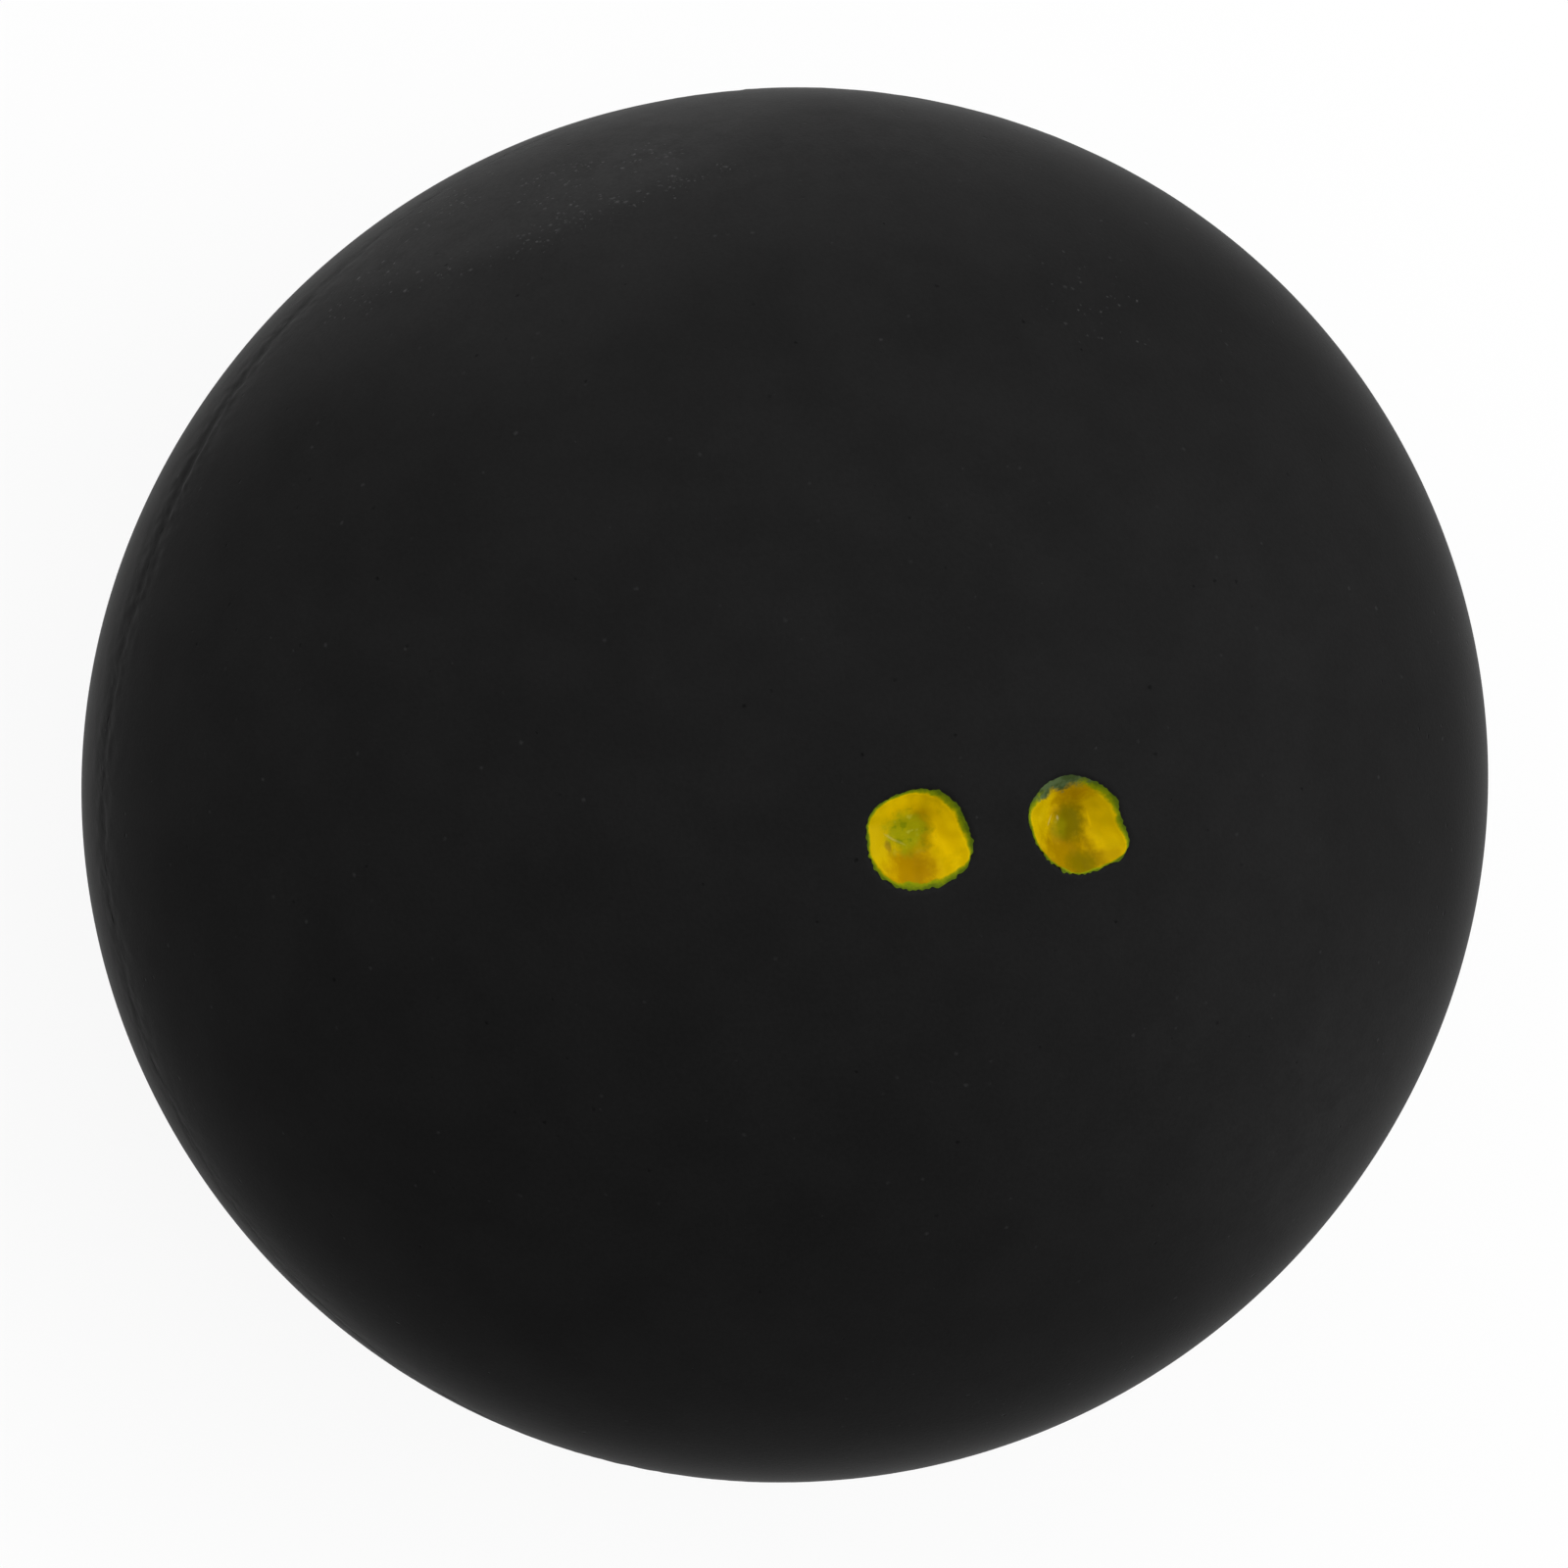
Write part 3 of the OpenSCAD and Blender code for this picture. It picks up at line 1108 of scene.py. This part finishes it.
def oval(t, x, y, centre, half_sizes, turn, softness, wobble):
    """1 inside an oval on a dot and 0 outside, with a soft, uneven edge."""
    cosine, sine = math.cos(math.radians(turn)), math.sin(math.radians(turn))
    from_x = t.math("SUBTRACT", x, centre[0])
    from_y = t.math("SUBTRACT", y, centre[1])

    def squared_share(x_share, y_share, half_size):
        by_x = t.math("MULTIPLY", from_x, x_share)
        by_y = t.math("MULTIPLY", from_y, y_share)
        return t.math("POWER", t.math("DIVIDE", t.math("ADD", by_x, by_y), half_size), 2.0)

    along = squared_share(cosine, sine, half_sizes[0])
    across = squared_share(-sine, cosine, half_sizes[1])
    reach = t.math("ADD", t.math("SQRT", t.math("ADD", along, across)), wobble)
    return t.ramp(reach, 1 + softness, 1 - softness)


def thick_colour(t, x, y, coarse, wobble, blotch, spots):
    """Colour of the paint inside its margin; some spots are painted light, shade and highlights.
    Spots in LEAF are mottled darker and flecked with painted highlights.
    """
    leaf = t.mix(t.ramp(blotch, *DARK_LEAF_RANGE), LEAF, DARK_LEAF)
    # Painted highlight flecks in the leaf green
    leaf = t.mix(t.ramp(blotch, *LEAF_HIGHLIGHT_RANGE), leaf, LEAF_HIGHLIGHT)
    colour = t.mix(t.ramp(coarse, *OCHRE_RANGE, 0.0, OCHRE_SHARE), YELLOW, OCHRE)
    # Some spots are painted light, shade and highlights on the dimple walls and floor
    for tone, centre, half_sizes, turn, softness, strength in spots:
        inside = oval(t, x, y, centre, half_sizes, turn, softness, wobble)
        share = t.math("MULTIPLY", inside, strength)
        colour = t.mix(share, colour, leaf if tone is LEAF else tone)
    return colour


def margin_colour(t, x, y, edge, wobble, blotch, has_film):
    """Green of the thin margin, darker at its very edge, and in one place a streaky grey film."""
    margin = t.mix(t.ramp(edge, *EDGE_TO_MARGIN), EDGE_GREEN, MARGIN_GREEN)
    if not has_film:
        return margin
    streaks = t.mix(t.ramp(blotch, *FILM_STREAK_RANGE), FILM_GREEN, GREY_GREEN)
    return t.mix(oval(t, x, y, *FILM_SPOT, wobble), margin, streaks)


def paint_material(name, spots):
    """Yellow paint that lets the black rubber show green through it where it is thin, with painted
    light, shade and highlights on it.
    """
    material = bpy.data.materials.new(name)
    t = Tree(material)
    where = t.node("ShaderNodeTexCoord").outputs["Object"]
    cover, x, y = (
        t.node("ShaderNodeAttribute", attribute_name=label).outputs["Fac"]
        for label in ("cover", "dot_x", "dot_y")
    )
    coarse = t.noise(where, PAINT_COARSE_SIZE, detail=3.0)
    coarse = t.math("SUBTRACT", coarse, NOISE_MIDDLE)
    fine = t.noise(where, PAINT_FINE_SIZE, detail=3.0)
    fine = t.math("SUBTRACT", fine, NOISE_MIDDLE)
    wobble = t.math("ADD", coarse, t.math("MULTIPLY", fine, PAINT_FINE_SHARE))
    blotch = t.noise(where, PAINT_BLOTCH_SIZE)
    edge = t.math("ADD", cover, wobble)
    thick = thick_colour(t, x, y, coarse, wobble, blotch, spots)
    margin = margin_colour(t, x, y, edge, wobble, blotch, spots is RIGHT_SPOTS)

    bump = t.node("ShaderNodeBump")
    t.feed(bump, {"Strength": PAINT_BUMP, "Distance": PAINT_BUMP_H, "Height": wobble})
    shader = t.node("ShaderNodeBsdfPrincipled")
    t.feed(shader, {
        "Base Color": t.mix(t.ramp(edge, *MARGIN_TO_THICK), margin, thick),
        "Roughness": PAINT_ROUGHNESS,
        "Specular IOR Level": PAINT_SPECULAR,
        "Normal": bump.outputs["Normal"],
    })
    t.finish(shader.outputs[0])
    return material


# Floor, light and camera


def seen_directly(t):
    """1 for rays from the camera, off a shiny surface or through glass, else 0."""
    path = t.node("ShaderNodeLightPath")
    shiny = t.math("MAXIMUM", path.outputs["Is Glossy Ray"], path.outputs["Is Transmission Ray"])
    return t.math("MAXIMUM", path.outputs["Is Camera Ray"], shiny)


def make_floor():
    """White floor that glows for rays that see it directly, and keeps a share of the shadow."""
    bm = bmesh.new()
    bmesh.ops.create_grid(
        bm, x_segments=FLOOR_SQUARES, y_segments=FLOOR_SQUARES, size=FLOOR_SIZE / 2
    )
    floor = object_from(bm, "floor")
    floor.location.z = BALL_FLOOR_Z - FLOOR_GAP
    material = bpy.data.materials.new("white_floor")
    t = Tree(material)
    lit = t.feed(t.node("ShaderNodeBsdfDiffuse"), {"Color": grey(FLOOR_GREY)})
    glow = t.feed(t.node("ShaderNodeEmission"), {"Color": grey(1.0), "Strength": 1.0})
    mixed = t.node("ShaderNodeMixShader")
    share = t.math("MULTIPLY", seen_directly(t), FLOOR_GLOW_SHARE)
    t.feed(mixed, {0: share, 1: lit.outputs[0], 2: glow.outputs[0]})
    t.finish(mixed.outputs[0])
    floor.data.materials.append(material)


def make_world():
    """Plain soft light, with white behind it for rays that see it directly."""
    world = bpy.data.worlds.new("studio")
    bpy.context.scene.world = world
    t = Tree(world)
    light = t.node("ShaderNodeBackground")
    t.feed(light, {"Color": grey(1.0), "Strength": WORLD_STRENGTH})
    white = t.node("ShaderNodeBackground")
    t.feed(white, {"Color": grey(1.0), "Strength": 1.0})
    mixed = t.node("ShaderNodeMixShader")
    t.feed(mixed, {0: seen_directly(t), 1: light.outputs[0], 2: white.outputs[0]})
    output = t.node("ShaderNodeOutputWorld")
    t.link(mixed.outputs[0], output.inputs["Surface"])


def make_lamp(name, direction, power):
    """A square softbox that faces the ball."""
    right, up, toward = direction
    way = (right * CAMERA_RIGHT + up * CAMERA_UP + toward * TO_CAMERA).normalized()
    data = bpy.data.lights.new(name, "AREA")
    data.shape = "SQUARE"
    data.size = LAMP_SIZE
    data.energy = power
    lamp = bpy.data.objects.new(name, data)
    lamp.location = way * LAMP_DISTANCE
    lamp.rotation_euler = way.to_track_quat("Z", "Y").to_euler()
    bpy.context.scene.collection.objects.link(lamp)


def make_camera():
    """Long lens from the photograph's side."""
    data = bpy.data.cameras.new("camera")
    data.sensor_width = SENSOR_MM
    data.lens = LENS_MM
    data.clip_start, data.clip_end = CAMERA_CLIPS
    camera = bpy.data.objects.new("camera", data)
    camera.location = TO_CAMERA * CAMERA_DISTANCE + CAMERA_RIGHT * CAMERA_SIDESTEP
    basis = np.array((CAMERA_RIGHT, CAMERA_UP, TO_CAMERA)).T
    camera.rotation_mode = "QUATERNION"
    camera.rotation_quaternion = Matrix(basis.tolist()).to_quaternion()
    bpy.context.scene.collection.objects.link(camera)
    bpy.context.scene.camera = camera


def dress(piece, node, material):
    """Gives a piece its material, and has it stand for its CAD node on the one body."""
    piece.data.materials.append(material)
    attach(piece, "root")
    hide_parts(node)


make_camera()
rubber = rubber_material()
dress(half_shell("dotted_half_skin", 1), "dotted_half_shell", rubber)
dress(half_shell("plain_half_skin", -1), "plain_half_shell", rubber)
dress(cement_ring("seam_cement_ring"), "seam_cement", cement_material())
for dot, spots, side_name in ((LEFT_DOT, LEFT_SPOTS, "left"), (RIGHT_DOT, RIGHT_SPOTS, "right")):
    lining = paint_lining(side_name + "_dot_lining", dot)
    node = side_name + "_dot_paint"
    dress(lining, node, paint_material(side_name + "_dot_yellow", spots))

make_floor()
make_world()
for lamp_name, direction, power in LAMPS:
    make_lamp(lamp_name, direction, power)
bpy.context.scene.view_settings.view_transform = "Standard"
